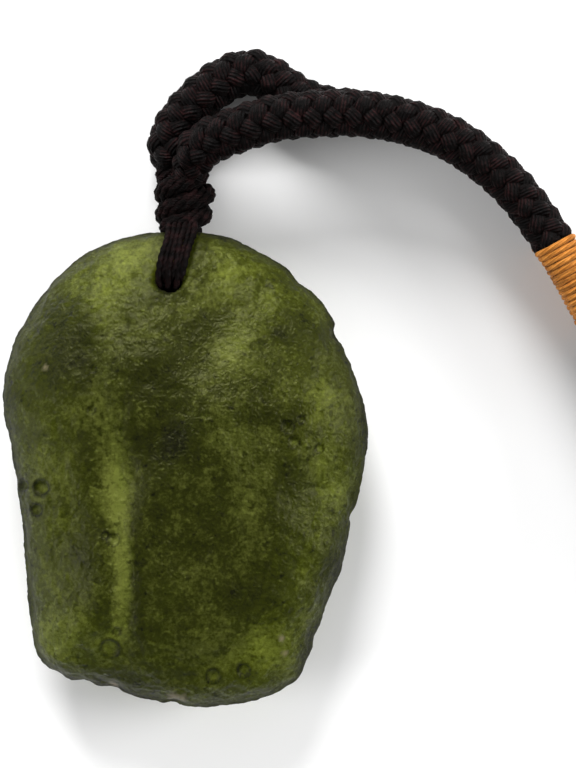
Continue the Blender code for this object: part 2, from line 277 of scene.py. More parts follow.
def calculator(add):
    """A function that adds a Math node and gives its result."""

    def calculate(operation, first, second=0.0, third=None):
        values = {0: first, 1: second}
        if third is not None:
            values[2] = third
        return add("ShaderNodeMath", values, operation=operation).outputs[0]

    return calculate


def new_material(name):
    """A material, the function that adds nodes to it, and its shader node."""
    material = bpy.data.materials.new(name)
    material.use_nodes = True
    return material, node_maker(material.node_tree), material.node_tree.nodes["Principled BSDF"]


def add_noise(add, source, scale, detail, roughness, **settings):
    """Noise over a piece, as a value."""
    return add("ShaderNodeTexNoise", {
        "Vector": source, "Scale": scale, "Detail": detail, "Roughness": roughness,
    }, **settings).outputs["Fac"]


def add_ramp(add, source, stops):
    """A colour for each value, from a few stops, each a value and its colour."""
    ramp = add("ShaderNodeValToRGB", {"Fac": source})
    elements = ramp.color_ramp.elements
    while len(elements) < len(stops):
        elements.new(0.5)
    for element, (place, colour) in zip(elements, stops):
        element.position = place
        element.color = (*colour, 1.0)
    return ramp.outputs["Color"]


# The glass: its marks' fineness, how much each mark changes its tone, and its colour by tone.
# The peel and the grain paint the light and shade of the etched skin's relief into the tone.
PEEL_FINENESS = 3200.0
GRAIN_FINENESS = 2800.0
SPECK_FINENESS = 1500.0
PEEL_PAINTED_SHADE_SHARE = 0.35
GRAIN_PAINTED_SHADE_SHARE = 1.6
SPECK_SHARE = -0.4
TONE_SHARE = 0.495
GLASS_TONES = [
    (0.4, (0.014, 0.016, 0.005)), (0.68, (0.112, 0.13, 0.008)), (0.9, (0.47, 0.53, 0.09)),
    (1.0, (0.76, 0.85, 0.16)),
]
BRUISE_SKIN = (0.95, 0.75, 0.6, 1.0)
SATIN = 0.42
FROSTED_RIM = 1.0
GLASS_DEPTH_TINT = (0.5, 0.56, 0.12, 1.0)
GLASS_DEPTH = 240.0


def moldavite_glass():
    """Clear green glass with an etched, satin skin; its depth takes up the light, and its tone holds
    painted shade and the painted light and shade of the skin.
    """
    material, add, shader = new_material("moldavite_glass")
    math = calculator(add)

    def stored_value(name):
        return add("ShaderNodeAttribute", attribute_name=name).outputs["Fac"]

    place = add("ShaderNodeTexCoord").outputs["Object"]
    peel = add_noise(add, place, PEEL_FINENESS, 4.0, 0.55, noise_type="RIDGED_MULTIFRACTAL")
    grain = add_noise(add, place, GRAIN_FINENESS, 5.0, 0.75)
    dots = add_noise(add, place, SPECK_FINENESS, 2.0, 0.6)
    specks = add_ramp(add, dots, [(0.6, (0.0, 0.0, 0.0)), (0.72, (1.0, 1.0, 1.0))])
    shaded_tone = stored_value("paleness_with_painted_shade")
    # Painted light and shade: the peel and the grain make the tone lighter and darker as the skin's
    # relief would.
    for mask, share in ((peel, PEEL_PAINTED_SHADE_SHARE), (grain, GRAIN_PAINTED_SHADE_SHARE), (specks, SPECK_SHARE)):
        shaded_tone = math("MULTIPLY_ADD", mask, share, shaded_tone)
    whitened = add("ShaderNodeMix", {
        "Factor": stored_value("bruise"),
        6: add_ramp(add, math("MULTIPLY", shaded_tone, TONE_SHARE), GLASS_TONES), 7: BRUISE_SKIN,
    }, data_type="RGBA")
    pitted = add("ShaderNodeBump", {
        "Strength": 0.48, "Distance": 0.0002,
        "Height": math("MULTIPLY", peel, stored_value("etching")),
    })
    frosted = add("ShaderNodeBump", {
        "Strength": 0.55, "Distance": 0.00005, "Height": grain, "Normal": pitted.outputs["Normal"],
    })
    frosting = add("ShaderNodeMapRange", {
        "Value": stored_value("rim"), "To Min": SATIN, "To Max": FROSTED_RIM,
    })
    tree = material.node_tree
    fill_inputs(tree, shader, {
        "Base Color": whitened.outputs[2], "Roughness": frosting.outputs["Result"],
        "Normal": frosted.outputs["Normal"], "IOR": 1.49, "Specular Tint": (0.27, 0.28, 0.11, 1.0),
        "Transmission Weight": 0.9,
    })
    depth = add("ShaderNodeVolumeAbsorption", {"Color": GLASS_DEPTH_TINT, "Density": GLASS_DEPTH})
    fill_inputs(tree, tree.nodes["Material Output"], {"Volume": depth.outputs["Volume"]})
    return material


stone = etched_stone()
stone.data.materials.append(moldavite_glass())
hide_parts("stone")
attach(stone, "root")

# The hanging loop: a flat bundle of fine waxed threads, put through the stone's drilled hole and
# brought together over its top edge, in front and behind. The same thread makes the knot and the
# neck cords, so the ways of making and colouring thread start here.
LOOP_THREADS = 6
THREAD_RADIUS = 0.23
RING_CORNERS = 10
LOOP_ROUTE = [
    (-0.25, 18.0, 3.3), (-0.27, 17.4, 4.15), (-0.32, 16.75, 5.0), (-0.45, 16.1, 5.65),
    (-0.65, 15.2, 6.25), (-0.85, 14.3, 6.6), (-0.98, 13.5, 6.55), (-1.04, 13.1, 5.9),
    (-1.04, 13.0, 4.1), (-1.04, 13.2, 2.2), (-1.0, 13.85, 1.2), (-0.85, 14.8, 0.95),
    (-0.6, 15.8, 1.05), (-0.4, 16.6, 1.35), (-0.3, 17.4, 1.7), (-0.25, 18.0, 2.0),
]
HOLE_STEP = 8.0


def smooth_point(route, position):
    """A point of the smooth curve through the route's points; one unit of position is one point."""
    index = min(int(position), len(route) - 2)
    part = position - index
    corners = [Vector(route[min(max(index + step, 0), len(route) - 1)]) for step in (-1, 0, 1, 2)]
    before, start, end, after = corners
    leaving = (end - before) / 2
    arriving = (after - start) / 2
    bend = 2 * start - 2 * end + leaving + arriving
    sweep = -3 * start + 3 * end - 2 * leaving - arriving
    return ((bend * part + sweep) * part + leaving) * part + start


def spaced_points(route, step_at):
    """Points along the smooth curve, each a step after the last; step_at gives it from the length."""
    fine = [smooth_point(route, step / 24) for step in range(24 * (len(route) - 1) + 1)]
    points = [fine[0]]
    reached = 0.0
    passed = 0.0
    for first, second in zip(fine, fine[1:]):
        piece = (second - first).length
        while passed + piece >= reached + step_at(reached):
            reached += step_at(reached)
            points.append(first.lerp(second, (reached - passed) / piece))
        passed += piece
    if (fine[-1] - points[-1]).length > 0.05:
        points.append(fine[-1])
    return points, passed


def line_object(name, points):
    """A run of edges through the points, for a Geometry Nodes tree to follow."""
    data = bpy.data.meshes.new(name)
    pairs = [(index, index + 1) for index in range(len(points) - 1)]
    data.from_pydata([tuple(point * MM) for point in points], pairs, [])
    piece = bpy.data.objects.new(name, data)
    bpy.context.scene.collection.objects.link(piece)
    return piece


def new_tree(name, *sizes):
    """An empty Geometry Nodes tree with an input for each size, and one for the material."""
    tree = bpy.data.node_groups.new(name, "GeometryNodeTree")
    new_socket = tree.interface.new_socket
    new_socket("Geometry", in_out="INPUT", socket_type="NodeSocketGeometry")
    for label in sizes:
        new_socket(label, in_out="INPUT", socket_type="NodeSocketFloat")
    new_socket("Material", in_out="INPUT", socket_type="NodeSocketMaterial")
    new_socket("Geometry", in_out="OUTPUT", socket_type="NodeSocketGeometry")
    return tree


def vector_calculator(add):
    """A function that adds a Vector Math node and gives its result."""

    def calculate(operation, first, second=None, scale=None):
        inputs = {0: first}
        if second is not None:
            inputs[1] = second
        if scale is not None:
            inputs["Scale"] = scale
        return add("ShaderNodeVectorMath", inputs, operation=operation).outputs[0]

    return calculate


def line_tools(tree):
    """What a tree that follows a line starts with; the last is the length reached along it."""
    add = node_maker(tree)
    start = tree.nodes.new("NodeGroupInput").outputs
    line = add("GeometryNodeMeshToCurve", {"Mesh": start["Geometry"]}).outputs[0]
    reached = add("GeometryNodeSplineParameter").outputs["Length"]
    return add, calculator(add), vector_calculator(add), start, line, reached


def stored(add, shape, name, value, kind="FLOAT"):
    """The shape, with the value kept at its points under this name."""
    return add("GeometryNodeStoreNamedAttribute", {
        "Geometry": shape, "Name": name, "Value": value,
    }, data_type=kind, domain="POINT").outputs[0]


def ring(add):
    """A ring of radius 1, for a section."""
    return add("GeometryNodeCurvePrimitiveCircle", {
        "Resolution": RING_CORNERS, "Radius": 1.0,
    }).outputs[0]


def ring_section(add, math, reshape=None):
    """A thread's section, which knows how far round it each corner lies; reshape moves them."""
    section = ring(add)
    place = add("GeometryNodeInputPosition").outputs[0]
    parts = add("ShaderNodeSeparateXYZ", {0: place}).outputs
    around = math("ARCTAN2", parts["Y"], parts["X"])
    if reshape:
        section = add("GeometryNodeSetPosition", {
            "Geometry": section, "Position": reshape(place, parts, around),
        }).outputs[0]
    return stored(add, section, "around", math("DIVIDE", around, 2 * pi))


def swept(add, line, section, size):
    """A closed mesh that follows the line with this section."""
    return add("GeometryNodeCurveToMesh", {
        "Curve": line, "Profile Curve": section, "Fill Caps": True, "Scale": size,
    }).outputs[0]


def finish_tree(tree, add, shape, material):
    """Smooths and paints the shape, and gives it out of the tree."""
    smooth = add("GeometryNodeSetShadeSmooth", {"Geometry": shape})
    realized = add("GeometryNodeRealizeInstances", {"Geometry": smooth.outputs[0]})
    add("NodeGroupOutput", {0: add("GeometryNodeSetMaterial", {
        "Geometry": realized.outputs[0], "Material": material,
    }).outputs[0]})


def thread_tree():
    """A twisted thread of two plies that follows each line it is given."""
    tree = new_tree("twisted_thread", "Thread Radius", "Twist Length")
    add, math, vector, start, line, reached = line_tools(tree)

    def two_plies(place, _, around):
        lobes = math("COSINE", math("MULTIPLY", around, 2.0))
        return vector("SCALE", place, scale=math("MULTIPLY_ADD", lobes, 0.14, 0.9))

    turn = math("MULTIPLY", math("DIVIDE", reached, start["Twist Length"]), 2 * pi)
    tilted = add("GeometryNodeSetCurveTilt", {"Curve": line, "Tilt": turn}).outputs[0]
    strand = swept(
        add, stored(add, tilted, "along", reached), ring_section(add, math, two_plies),
        start["Thread Radius"],
    )
    finish_tree(tree, add, strand, start["Material"])
    return tree


def run_tree(piece, tree, values):
    """Lets the tree make the piece's mesh from its line, and leaves a plain mesh."""
    modifier = piece.modifiers.new(tree.name, "NODES")
    modifier.node_group = tree
    for item in tree.interface.items_tree:
        if item.item_type == "SOCKET" and item.in_out == "INPUT" and item.name in values:
            modifier[item.identifier] = values[item.name]
    apply_modifiers(piece)
    turn_outwards(piece)
    return piece


def turn_outwards(piece):
    """Turns every face of a closed piece outwards."""
    shape = bmesh.new()
    shape.from_mesh(piece.data)
    bmesh.ops.recalc_face_normals(shape, faces=shape.faces)
    shape.to_mesh(piece.data)
    shape.free()


def thread_fibres():
    """Fine fibres lying along a thread: a height for the bump, and a mask for the paler fibres that
    also holds painted glints.
    """
    group = bpy.data.node_groups.new("thread_fibres", "ShaderNodeTree")
    for label, way in (
        ("Fibres", "INPUT"), ("Lay", "INPUT"), ("Height", "OUTPUT"), ("Pale", "OUTPUT"),
    ):
        group.interface.new_socket(label, in_out=way, socket_type="NodeSocketFloat")
    add = node_maker(group)
    math = calculator(add)
    start = group.nodes.new("NodeGroupInput").outputs
    around = add("ShaderNodeAttribute", attribute_name="around").outputs["Fac"]
    along = add("ShaderNodeAttribute", attribute_name="along").outputs["Fac"]
    turned = math("MULTIPLY_ADD", along, start["Lay"], math("MULTIPLY", around, start["Fibres"]))
    ply = math("SINE", math("MULTIPLY", turned, 2 * pi))
    place = add("ShaderNodeTexCoord").outputs["Object"]
    fuzz = add_noise(add, place, 3600.0, 3.0, 0.5)
    # Patches of paler reddish fibres, which also stand for painted glints on the thread.
    patch_and_glints = add_noise(add, place, 1300.0, 5.0, 0.65)
    add("NodeGroupOutput", {
        "Height": math("MULTIPLY_ADD", ply, 0.3, math("MULTIPLY", fuzz, 1.3)),
        "Pale": math("MULTIPLY", math("MULTIPLY_ADD", ply, 0.11, 0.74), patch_and_glints),
    })
    return group


fibres = thread_fibres()


def thread_material(name, stops, count, lay, roughness, sheen, sheen_tint):
    """Waxed thread with this many fibres round it, which turn lay times in a metre."""
    material, add, shader = new_material(name)
    marks = add("ShaderNodeGroup", {"Fibres": count, "Lay": lay}, node_tree=fibres)
    bump = add("ShaderNodeBump", {
        "Strength": 0.8, "Distance": 0.00012, "Height": marks.outputs["Height"],
    })
    fill_inputs(material.node_tree, shader, {
        # The paler fibres' colour holds painted glints as well.
        "Base Color": add_ramp(add, marks.outputs["Pale"], stops),
        "Normal": bump.outputs["Normal"], "Roughness": roughness, "Specular IOR Level": 0.05,
        "Sheen Weight": sheen, "Sheen Tint": (*sheen_tint, 1.0),
    })
    return material


dark_thread = thread_material(
    "dark_waxed_thread",
    [(0.27, (0.0006, 0.0004, 0.0004)), (0.38, (0.0018, 0.001, 0.001)), (0.56, (0.02, 0.0068, 0.007))],
    count=11.0, lay=1500.0, roughness=0.55, sheen=0.01, sheen_tint=(0.6, 0.35, 0.3),
)
thread = thread_tree()


def threads(name, lines, radius, material):
    """One piece made of threads, each along a line of its own; a closed line repeats no point."""
    corners = []
    pairs = []
    for points, closed in lines:
        first = len(corners)
        corners.extend(tuple(Vector(point) * MM) for point in points)
        pairs.extend((first + index, first + index + 1) for index in range(len(points) - 1))
        if closed:
            pairs.append((len(corners) - 1, first))
    data = bpy.data.meshes.new(name)
    data.from_pydata(corners, pairs, [])
    piece = bpy.data.objects.new(name, data)
    bpy.context.scene.collection.objects.link(piece)
    return run_tree(piece, thread, {
        "Thread Radius": radius * MM, "Twist Length": 5.5 * radius * MM, "Material": material,
    })


def loop_lines():
    """The loop's threads, side by side, and two deep where the drilled hole gathers them."""
    lines = []
    middle = (LOOP_THREADS - 1) / 2
    last = len(LOOP_ROUTE) - 1
    for index in range(LOOP_THREADS):
        side = (index - middle) / middle
        route = []
        for step, (x, y, z) in enumerate(LOOP_ROUTE):
            in_hole = fall_off(abs(step - HOLE_STEP), 3.2)
            spread = 0.9 - 0.34 * in_hole
            wander = 0.09 * noise.noise(Vector((index * 3.7, step * 0.55, 0.0)))
            lift = 0.07 * sin(index * 2.4 + step * 0.5)
            forward = (0.4 if index % 2 else -0.38) * in_hole
            route.append((x + side * spread + wander, y + forward, z + lift))
        steps = 12 * last
        lines.append(([smooth_point(route, step * last / steps) for step in range(steps + 1)], False))
    return lines


hanging_loop = threads("loop_threads", loop_lines(), THREAD_RADIUS, dark_thread)
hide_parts("hanging_loop")
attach(hanging_loop, "root")

# The knot: both cords' threads are wound round each other in two bands that climb side by side,
# so it swells to the left and to the right by turns, and pulled tight over the threads inside.
KNOT_PROFILE = [
    (16.8, -0.5, 2.1), (17.5, -0.45, 2.2), (18.05, -0.3, 2.12), (18.58, -0.25, 2.1),
    (19.09, -0.25, 2.02), (19.53, -0.21, 2.12), (20.04, -0.17, 2.3), (20.77, -0.36, 2.2),
    (21.3, -0.38, 1.95), (21.9, -0.34, 1.6),
]
KNOT_HEIGHT = 2.08
KNOT_CLIMB = 2.9
KNOT_STEPS = 170
STRAND_THREADS = 6
STRAND_RADIUS = 0.45
KNOT_THREAD = 0.27
KNOT_CORE = 1.05


def knot_size(y):
    """The knot's middle and half width at this height up the stone's axis."""
    for (low_y, low_x, low_r), (high_y, high_x, high_r) in zip(KNOT_PROFILE, KNOT_PROFILE[1:]):
        if y <= high_y:
            part = max((y - low_y) / (high_y - low_y), 0.0)
            return low_x + (high_x - low_x) * part, low_r + (high_r - low_r) * part
    return KNOT_PROFILE[-1][1], KNOT_PROFILE[-1][2]


def knot_lines():
    """Two fat strands of twisted threads, wound round the knot side by side and tucked in."""
    lines = []
    low = KNOT_PROFILE[0][0]
    high = KNOT_PROFILE[-1][0]
    for start in (0, 1):
        for index in range(STRAND_THREADS):
            points = []
            for step in range(KNOT_STEPS + 1):
                part = step / KNOT_STEPS
                y = low + 0.25 + (high - low - 0.5) * part
                turn = 2 * pi * (y - low) / KNOT_CLIMB + start * pi + pi * 0.9
                x, radius = knot_size(y)
                tuck = 1.1 * fall_off(min(part, 1.0 - part) * 2.0, 0.14)
                lay = 2 * pi * index / STRAND_THREADS + 2.2 * turn
                reach = radius - 0.68 - tuck + STRAND_RADIUS * cos(lay)
                points.append((
                    x + reach * cos(turn), y + STRAND_RADIUS * 1.12 * sin(lay),
                    KNOT_HEIGHT - 0.94 * reach * sin(turn),
                ))
            lines.append((points, False))
    return lines


knot = threads("knot_strands", knot_lines(), KNOT_THREAD, dark_thread)
core_points = [(knot_size(y)[0], y, KNOT_HEIGHT) for y in (17.5, 18.5, 19.5, 20.5, 21.4)]
knot_core = threads("knot_core", [(core_points, False)], KNOT_CORE, dark_thread)
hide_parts("knot")
for piece in (knot, knot_core):
    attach(piece, "root")

# The neck cords: each is a round braid of eight strands of waxed thread, made by hand, thin where it
# comes out of the knot and squeezed where brown thread is wound round it. Each runs from the knot
# over the table, into the stored coil and out of its middle to its own end.
# Lengths here are in millimetres and angles in degrees, and shares are of the cord's thickness.
CORD_RADIUS = 1.6
STRANDS_EACH_WAY = 4
STRAND_HALF_WIDTH = 0.29
STRAND_HALF_LENGTH = 0.4
CORE_SHARE = 0.55
WEAVE_MIDDLE = 0.67
WEAVE_DEPTH = 0.15
BRAID_PITCH = 5.8
NECK_LENGTH = 2.6
NECK_SHARE = 0.72
LEFT_WHIPPING_START = 37.1
RIGHT_WHIPPING_START = 31.95
WHIPPING_LENGTH = 7.5
WHIPPED_SHARE = 0.68
SQUEEZED_SHARE = 0.1
SQUEEZED_REACH = 22.0
COIL_CENTRE = (52.5, 0.0)
UPPER_LAYER = 5.1
OUTER_TURN = 19.5
INNER_TURN = 16.1
STEPPED_IN = 355.0
TIE_ANGLE = 300.0
TIE_LIFT = 0.35
FINE_STEP = 0.19
COARSE_STEP = 0.31
SHOWN_LENGTH = 42.0

LEFT_ROUTE = [
    (-0.75, 21.0, 1.45), (-0.94, 21.9, 1.5), (-1.22, 22.65, 1.6), (-1.29, 23.44, 1.7),
    (-1.07, 24.31, 1.75),
    (-0.56, 25.18, 1.75), (0.17, 26.13, 1.75), (1.12, 27.08, 1.75), (2.21, 27.95, 1.75),
    (3.45, 28.6, 1.75), (4.7, 28.8, 1.75), (5.9, 28.35, 1.75), (7.1, 27.5, 1.75),
    (8.4, 26.7, 1.75), (10.3, 26.1, 1.75), (12.5, 25.85, 1.75), (16.0, 25.15, 1.75),
    (19.5, 23.75, 1.75), (23.0, 21.1, 1.75), (25.6, 17.95, 1.75), (27.8, 14.35, 1.75),
    (30.0, 10.3, 1.75), (31.7, 6.6, 1.75), (32.65, 3.3, 1.75), (33.0, 0.0, 1.75),
]
RIGHT_ROUTE = [
    (0.0, 20.9, 2.75), (0.22, 21.6, 3.05), (0.55, 22.3, 3.45), (1.08, 23.05, 3.9), (1.95, 23.56, 4.3),
    (2.9, 23.9, 4.7), (3.9, 24.21, 5.0), (5.05, 24.57, 5.25), (6.5, 24.95, 5.35),
    (8.2, 25.16, 5.35), (10.3, 25.25, 5.35), (12.4, 25.25, 5.35), (15.8, 24.65, 5.35),
    (19.2, 23.3, 5.35), (22.6, 20.7, 5.35), (25.1, 17.7, 5.35), (27.3, 14.2, 5.35),
    (29.7, 10.2, 5.3), (31.6, 6.6, 5.2), (32.65, 3.3, 5.1), (33.0, 0.0, 5.1),
]
# Each cord's way out of the coil, from the coil's middle
LEFT_END_ROUTE = [
    (-5.4, 15.0, 1.75), (-9.0, 11.6, 1.75), (-10.9, 8.0, 1.75), (-11.3, 5.2, 1.75),
    (-11.0, 2.6, 1.75), (-9.9, -0.2, 1.75), (-8.0, -2.7, 1.8), (-4.5, -5.45, 1.85),
]
RIGHT_END_ROUTE = [
    (15.2, 5.0, 5.1), (12.7, 8.2, 4.7), (9.7, 9.8, 3.6), (6.6, 9.9, 2.4), (4.9, 9.4, 2.0),
    (3.2, 8.0, 1.8), (2.2, 6.2, 1.9), (1.8, 4.2, 2.4), (1.7, 2.4, 2.75),
]


def coil_turns(start_height, sweep):
    """Two turns lying side by side: the outer one steps inwards before it meets its own start."""
    points = []
    for angle in range(10, sweep - 5, 10):
        radius = OUTER_TURN + (INNER_TURN - OUTER_TURN) * fall_off(STEPPED_IN - angle, 90.0)
        off_tie = abs((angle - TIE_ANGLE) % 360.0 - 180.0)
        turn = radians(180.0 + angle)
        points.append((
            COIL_CENTRE[0] + radius * cos(turn), COIL_CENTRE[1] + radius * sin(turn),
            start_height + TIE_LIFT * max(1.0 - off_tie / 30.0, 0.0),
        ))
    return points


def whole_route(route, sweep, end_route):
    """A cord's whole way: over the table, round the coil and out of it to its end."""
    from_middle = [(COIL_CENTRE[0] + x, COIL_CENTRE[1] + y, z) for x, y, z in end_route]
    return route + coil_turns(route[-1][2], sweep) + from_middle


def ways_out(add, math, vector):
    """A function that gives the way out of the line at an angle; at 0 it is level."""
    tangent = add("GeometryNodeInputTangent").outputs[0]
    level = vector("NORMALIZE", vector("CROSS_PRODUCT", tangent, (0.0, 0.0, 1.0)))
    upright = vector("CROSS_PRODUCT", level, tangent)

    def outward_at(angle):
        return vector(
            "ADD", vector("SCALE", level, scale=math("COSINE", angle)),
            vector("SCALE", upright, scale=math("SINE", angle)),
        )

    return outward_at


def braid_tree():
    """Eight strands round a core, four turning each way, that go over and under each other."""
    tree = new_tree("round_braid", "Cord Radius", "Pitch")
    add, math, vector, start, line, reached = line_tools(tree)
    outward_at = ways_out(add, math, vector)

    def flattened(_, parts, around):
        return add("ShaderNodeCombineXYZ", {
            0: math("MULTIPLY", parts["X"], STRAND_HALF_WIDTH),
            1: math("MULTIPLY", parts["Y"], STRAND_HALF_LENGTH),
        }).outputs[0]

    section = ring_section(add, math, flattened)
    share = add("GeometryNodeInputNamedAttribute", {"Name": "share"}, data_type="FLOAT").outputs[0]
    whole = math("MULTIPLY", start["Cord Radius"], share)
    turn = math("MULTIPLY", math("DIVIDE", reached, start["Pitch"]), 2 * pi)
    weave = math("SINE", math("MULTIPLY", turn, float(STRANDS_EACH_WAY)))
    core = swept(add, line, ring(add), math("MULTIPLY", whole, CORE_SHARE))
    join = add("GeometryNodeJoinGeometry", {0: core})
    for way, first in ((1.0, 0.0), (-1.0, pi / STRANDS_EACH_WAY)):
        for index in range(STRANDS_EACH_WAY):
            outward = outward_at(
                math("MULTIPLY_ADD", turn, way, first + index * 2 * pi / STRANDS_EACH_WAY)
            )
            over = math("MULTIPLY_ADD", weave, WEAVE_DEPTH * way, WEAVE_MIDDLE)
            reach = math("MULTIPLY", whole, over)
            moved = add("GeometryNodeSetPosition", {
                "Geometry": stored(add, line, "outward", outward, "FLOAT_VECTOR"),
                "Offset": vector("SCALE", outward, scale=reach),
            })
            kept_outward = add(
                "GeometryNodeInputNamedAttribute", {"Name": "outward"}, data_type="FLOAT_VECTOR"
            )
            faced = add("GeometryNodeSetCurveNormal", {
                "Curve": moved.outputs[0], "Normal": kept_outward.outputs[0],
            }, mode="FREE")
            along = stored(add, faced.outputs[0], "along", reached)
            fill_inputs(tree, join, {0: swept(add, along, section, whole)})
    finish_tree(tree, add, join.outputs[0], start["Material"])
    return tree


braid = braid_tree()


def squeeze(reached, whipping_start):
    """The cord's thickness along it, as a share of its full one."""
    share = NECK_SHARE + (1.0 - NECK_SHARE) * (1.0 - fall_off(reached, NECK_LENGTH))
    share -= SQUEEZED_SHARE * fall_off(abs(reached - whipping_start), SQUEEZED_REACH)
    if whipping_start < reached < whipping_start + WHIPPING_LENGTH:
        share = WHIPPED_SHARE
    return share


def neck_cord(name, route, whipping_start):
    """A braided cord along the route, with its path and its length in metres."""
    points, length = spaced_points(
        route, lambda reached: FINE_STEP if reached < SHOWN_LENGTH else COARSE_STEP
    )
    piece = line_object(name, points)
    shares = piece.data.attributes.new("share", "FLOAT", "POINT")
    reached = 0.0
    for index, point in enumerate(points):
        if index:
            reached += (point - points[index - 1]).length
        shares.data[index].value = squeeze(reached, whipping_start)
    run_tree(piece, braid, {
        "Cord Radius": CORD_RADIUS * MM, "Pitch": BRAID_PITCH * MM, "Material": dark_thread,
    })
    return piece, [tuple(point * MM) for point in points], length * MM


left_whole = whole_route(LEFT_ROUTE, 630, LEFT_END_ROUTE)
right_whole = whole_route(RIGHT_ROUTE, 540, RIGHT_END_ROUTE)
left_cord, left_path, left_length = neck_cord(
    "neck_cord_left", left_whole, LEFT_WHIPPING_START
)
right_cord, right_path, right_length = neck_cord(
    "neck_cord_right", right_whole, RIGHT_WHIPPING_START
)
for cord, nodes_replaced in (
    (left_cord, ("cord_left", "cord_end_left", "cord_coil")),
    (right_cord, ("cord_right", "cord_end_right", "cord_coil")),
):
    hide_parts(*nodes_replaced)
    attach(cord, "root")

# The whippings: brown waxed thread wound round each cord, turn against turn, the first turns
# a little loose. They stop the braid from opening and are pulled tight by hand.
WHIPPING_RADIUS = 1.25
WHIPPING_THREAD = 0.21
POINTS_PER_TURN = 20.0
LOOSE_TURNS = 2.4

brown_thread = thread_material(
    "brown_waxed_thread",
    [(0.1, (0.2, 0.053, 0.007)), (0.35, (0.44, 0.158, 0.025)), (0.6, (0.67, 0.285, 0.058))],
    count=6.0, lay=900.0, roughness=0.45, sheen=0.15, sheen_tint=(0.9, 0.6, 0.3),
)


def winding_tree():
    """Thread wound round a line, turn beside turn, its first turns looser than the rest."""
    tree = new_tree(
        "winding", "Winding Radius", "Turn Spacing", "Turns", "Thread Radius", "Looseness"
    )
    add, math, vector, start, line, reached = line_tools(tree)
    points = add("GeometryNodeResampleCurve", {
        "Curve": line, "Count": math("MULTIPLY", start["Turns"], POINTS_PER_TURN),
    }, mode="COUNT")
    turns = math("DIVIDE", reached, start["Turn Spacing"])
    uneven = add("ShaderNodeTexNoise", {"W": math("MULTIPLY", turns, 0.9), "Scale": 1.0},
                 noise_dimensions="1D")
    first_turns = math("MAXIMUM", math("SUBTRACT", LOOSE_TURNS, turns), 0.0)
    loose = math(
        "ADD", math("MULTIPLY_ADD", uneven.outputs[0], 0.16, 0.93),
        math("MULTIPLY", first_turns, start["Looseness"]),
    )
    outward = ways_out(add, math, vector)(math("MULTIPLY", turns, 2 * pi))
    wound = add("GeometryNodeSetPosition", {
        "Geometry": points.outputs[0],
        "Offset": vector("SCALE", outward, scale=math("MULTIPLY", start["Winding Radius"], loose)),
    })
    strand = swept(
        add, stored(add, wound.outputs[0], "along", reached), ring_section(add, math),
        start["Thread Radius"],
    )
    finish_tree(tree, add, strand, start["Material"])
    return tree


winding = winding_tree()


def stretch_of(route, start, end, step=0.25):
    """The points of a route between two lengths along it."""
    points = spaced_points(route, lambda reached: step)[0]
    return points[round(start / step):round(end / step) + 1]


def wound_thread(name, points, radius, spacing, thread_radius, looseness, material):
    """One piece of thread, wound round the points at this radius and spacing."""
    piece = line_object(name, points)
    length = sum((second - first).length for first, second in zip(points, points[1:]))
    return run_tree(piece, winding, {
        "Winding Radius": radius * MM, "Turn Spacing": spacing * MM, "Turns": length / spacing,
        "Thread Radius": thread_radius * MM, "Looseness": looseness, "Material": material,
    })


def whipping(side, route, start):
    """The brown thread round one cord, from this length along it."""
    points = stretch_of(route, start, start + WHIPPING_LENGTH)
    piece = wound_thread(
        "whipping_turns_" + side, points, WHIPPING_RADIUS, 2 * WHIPPING_THREAD, WHIPPING_THREAD,
        0.045, brown_thread,
    )
    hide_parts("whipping_" + side)
    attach(piece, "root")
    return piece


whipping_left = whipping("left", left_whole, LEFT_WHIPPING_START)
whipping_right = whipping("right", right_whole, RIGHT_WHIPPING_START)

# The coil tie: a length of the same brown thread, put four times round the stored coil. Both its
# ends are tucked in underneath.
TIE_THREAD = 0.22
TIE_TURNS = 4
TIE_CORNER = 1.6


def tie_lines():
    """The tie's thread, round a section of the coil with rounded corners."""
    low_radius = INNER_TURN - CORD_RADIUS - TIE_THREAD + TIE_CORNER
    high_radius = OUTER_TURN + CORD_RADIUS + TIE_THREAD - TIE_CORNER
    bottom = TIE_THREAD + 0.05 + TIE_CORNER
    top = UPPER_LAYER + TIE_LIFT + CORD_RADIUS + TIE_THREAD - 0.3 - TIE_CORNER
    section = []
    for radius, height, first in (
        (high_radius, bottom, 270.0), (high_radius, top, 0.0),
        (low_radius, top, 90.0), (low_radius, bottom, 180.0),
    ):
        for step in range(9):
            angle = radians(first + 90.0 * step / 8)
            section.append((radius + TIE_CORNER * cos(angle), height + TIE_CORNER * sin(angle)))
    turn = radians(TIE_ANGLE)
    points = []
    steps = TIE_TURNS * len(section)
    for step in range(steps + 1):
        radius, height = section[step % len(section)]
        across = (step / steps - 0.5) * TIE_TURNS * 2.1 * TIE_THREAD
        points.append((
            COIL_CENTRE[0] + radius * cos(turn) - across * sin(turn),
            COIL_CENTRE[1] + radius * sin(turn) + across * cos(turn), height,
        ))
    return [(points, False)]


coil_tie = threads("coil_tie_turns", tie_lines(), TIE_THREAD, brown_thread)
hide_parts("coil_tie")
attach(coil_tie, "root")

# The closure: the right cord ends in a round button knot, and the left one in an eye of the same
# threads, bound where the braid stops. The button goes through the eye at the back of the neck.
BUTTON_CENTRE = (1.7, 0.0)
BUTTON_RADIUS = 3.0
BUTTON_THREAD = 0.46
EYE_CENTRE = (-1.4, -7.7)
EYE_HALF_LENGTH = 4.0
EYE_HALF_WIDTH = 3.3
EYE_STRANDS = 5
EYE_THREAD = 0.3
EYE_SPREAD = 0.42
EYE_HEIGHT = 0.78
BINDING_RADIUS = 1.62
BINDING_THREAD = 0.22


